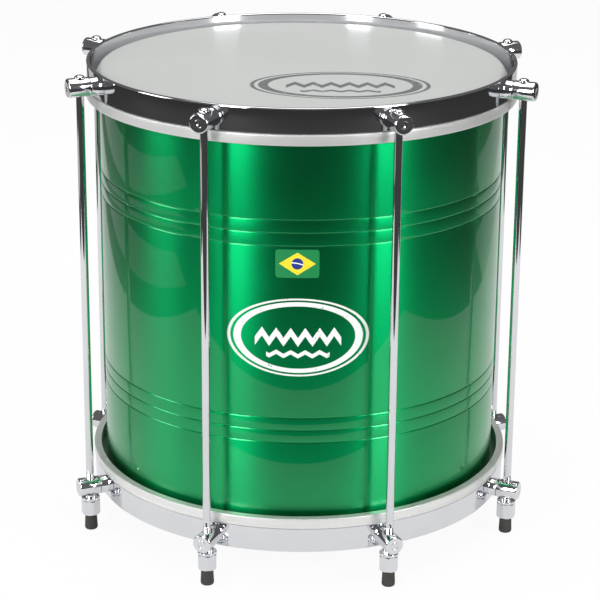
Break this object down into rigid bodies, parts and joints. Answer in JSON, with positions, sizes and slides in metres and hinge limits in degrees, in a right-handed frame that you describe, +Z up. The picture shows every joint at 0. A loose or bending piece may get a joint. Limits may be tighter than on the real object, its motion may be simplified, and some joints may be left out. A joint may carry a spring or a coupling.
{
  "type": "repinique drum",
  "caption": "Two-headed samba drum: green grooved aluminium shell, chrome hoops, full-length tension rods through barrel lugs, hex tuning nuts and rubber tips as feet.",
  "frame": {"origin": "on the floor, in the middle of the eight rubber tips that the drum stands on", "axes": "+Z up along the shell's axis towards the batter head; the pictured front looks along -Y"},
  "size_m": [0.3384, 0.3384, 0.3541],
  "materials": {
    "green_shell": "glossy metallic green over brushed aluminium",
    "head_film": "smooth milky film",
    "satin_aluminium": "satin",
    "chrome": "polished chrome plate",
    "rubber": "matt black"
  },
  "bodies": {
    "drum": {"shell": "green_shell", "batter_head": "head_film", "resonant_head": "head_film", "batter_flesh_hoop": "satin_aluminium", "resonant_flesh_hoop": "satin_aluminium", "top_counterhoop": "chrome", "bottom_counterhoop": "chrome", "tension_rod_1": "chrome", "tension_rod_2": "chrome", "tension_rod_3": "chrome", "tension_rod_4": "chrome", "tension_rod_5": "chrome", "tension_rod_6": "chrome", "tension_rod_7": "chrome", "tension_rod_8": "chrome", "upper_lug_1": "chrome", "upper_lug_2": "chrome", "upper_lug_3": "chrome", "upper_lug_4": "chrome", "upper_lug_5": "chrome", "upper_lug_6": "chrome", "upper_lug_7": "chrome", "upper_lug_8": "chrome", "lower_lug_1": "chrome", "lower_lug_2": "chrome", "lower_lug_3": "chrome", "lower_lug_4": "chrome", "lower_lug_5": "chrome", "lower_lug_6": "chrome", "lower_lug_7": "chrome", "lower_lug_8": "chrome"},
    "nut_seat_1": {"seat_washer_1": "chrome", "rubber_tip_1": "rubber"},
    "nut_1": {"tuning_nut_1": "chrome"},
    "nut_seat_2": {"seat_washer_2": "chrome", "rubber_tip_2": "rubber"},
    "nut_2": {"tuning_nut_2": "chrome"},
    "nut_seat_3": {"seat_washer_3": "chrome", "rubber_tip_3": "rubber"},
    "nut_3": {"tuning_nut_3": "chrome"},
    "nut_seat_4": {"seat_washer_4": "chrome", "rubber_tip_4": "rubber"},
    "nut_4": {"tuning_nut_4": "chrome"},
    "nut_seat_5": {"seat_washer_5": "chrome", "rubber_tip_5": "rubber"},
    "nut_5": {"tuning_nut_5": "chrome"},
    "nut_seat_6": {"seat_washer_6": "chrome", "rubber_tip_6": "rubber"},
    "nut_6": {"tuning_nut_6": "chrome"},
    "nut_seat_7": {"seat_washer_7": "chrome", "rubber_tip_7": "rubber"},
    "nut_7": {"tuning_nut_7": "chrome"},
    "nut_seat_8": {"seat_washer_8": "chrome", "rubber_tip_8": "rubber"},
    "nut_8": {"tuning_nut_8": "chrome"}
  },
  "joints": [
    {"name": "nut_travel_1", "type": "slide", "parent": "drum", "child": "nut_seat_1", "axis": [0, 0, -1], "range_m": [0, 0.006]},
    {"name": "nut_turn_1", "type": "hinge", "parent": "nut_seat_1", "child": "nut_1", "pos_m": [0.06555, -0.15826, 0.018], "axis": [0, 0, -1], "range_deg": [0, 2160]},
    {"name": "nut_travel_2", "type": "slide", "parent": "drum", "child": "nut_seat_2", "axis": [0, 0, -1], "range_m": [0, 0.006]},
    {"name": "nut_turn_2", "type": "hinge", "parent": "nut_seat_2", "child": "nut_2", "pos_m": [0.15826, -0.06555, 0.018], "axis": [0, 0, -1], "range_deg": [0, 2160]},
    {"name": "nut_travel_3", "type": "slide", "parent": "drum", "child": "nut_seat_3", "axis": [0, 0, -1], "range_m": [0, 0.006]},
    {"name": "nut_turn_3", "type": "hinge", "parent": "nut_seat_3", "child": "nut_3", "pos_m": [0.15826, 0.06555, 0.018], "axis": [0, 0, -1], "range_deg": [0, 2160]},
    {"name": "nut_travel_4", "type": "slide", "parent": "drum", "child": "nut_seat_4", "axis": [0, 0, -1], "range_m": [0, 0.006]},
    {"name": "nut_turn_4", "type": "hinge", "parent": "nut_seat_4", "child": "nut_4", "pos_m": [0.06555, 0.15826, 0.018], "axis": [0, 0, -1], "range_deg": [0, 2160]},
    {"name": "nut_travel_5", "type": "slide", "parent": "drum", "child": "nut_seat_5", "axis": [0, 0, -1], "range_m": [0, 0.006]},
    {"name": "nut_turn_5", "type": "hinge", "parent": "nut_seat_5", "child": "nut_5", "pos_m": [-0.06555, 0.15826, 0.018], "axis": [0, 0, -1], "range_deg": [0, 2160]},
    {"name": "nut_travel_6", "type": "slide", "parent": "drum", "child": "nut_seat_6", "axis": [0, 0, -1], "range_m": [0, 0.006]},
    {"name": "nut_turn_6", "type": "hinge", "parent": "nut_seat_6", "child": "nut_6", "pos_m": [-0.15826, 0.06555, 0.018], "axis": [0, 0, -1], "range_deg": [0, 2160]},
    {"name": "nut_travel_7", "type": "slide", "parent": "drum", "child": "nut_seat_7", "axis": [0, 0, -1], "range_m": [0, 0.006]},
    {"name": "nut_turn_7", "type": "hinge", "parent": "nut_seat_7", "child": "nut_7", "pos_m": [-0.15826, -0.06555, 0.018], "axis": [0, 0, -1], "range_deg": [0, 2160]},
    {"name": "nut_travel_8", "type": "slide", "parent": "drum", "child": "nut_seat_8", "axis": [0, 0, -1], "range_m": [0, 0.006]},
    {"name": "nut_turn_8", "type": "hinge", "parent": "nut_seat_8", "child": "nut_8", "pos_m": [-0.06555, -0.15826, 0.018], "axis": [0, 0, -1], "range_deg": [0, 2160]}
  ],
  "couplings": [
    {"joint": "nut_travel_1", "follows": "nut_turn_1", "m_per_rad": 0.00015915},
    {"joint": "nut_travel_2", "follows": "nut_turn_2", "m_per_rad": 0.00015915},
    {"joint": "nut_travel_3", "follows": "nut_turn_3", "m_per_rad": 0.00015915},
    {"joint": "nut_travel_4", "follows": "nut_turn_4", "m_per_rad": 0.00015915},
    {"joint": "nut_travel_5", "follows": "nut_turn_5", "m_per_rad": 0.00015915},
    {"joint": "nut_travel_6", "follows": "nut_turn_6", "m_per_rad": 0.00015915},
    {"joint": "nut_travel_7", "follows": "nut_turn_7", "m_per_rad": 0.00015915},
    {"joint": "nut_travel_8", "follows": "nut_turn_8", "m_per_rad": 0.00015915}
  ]
}
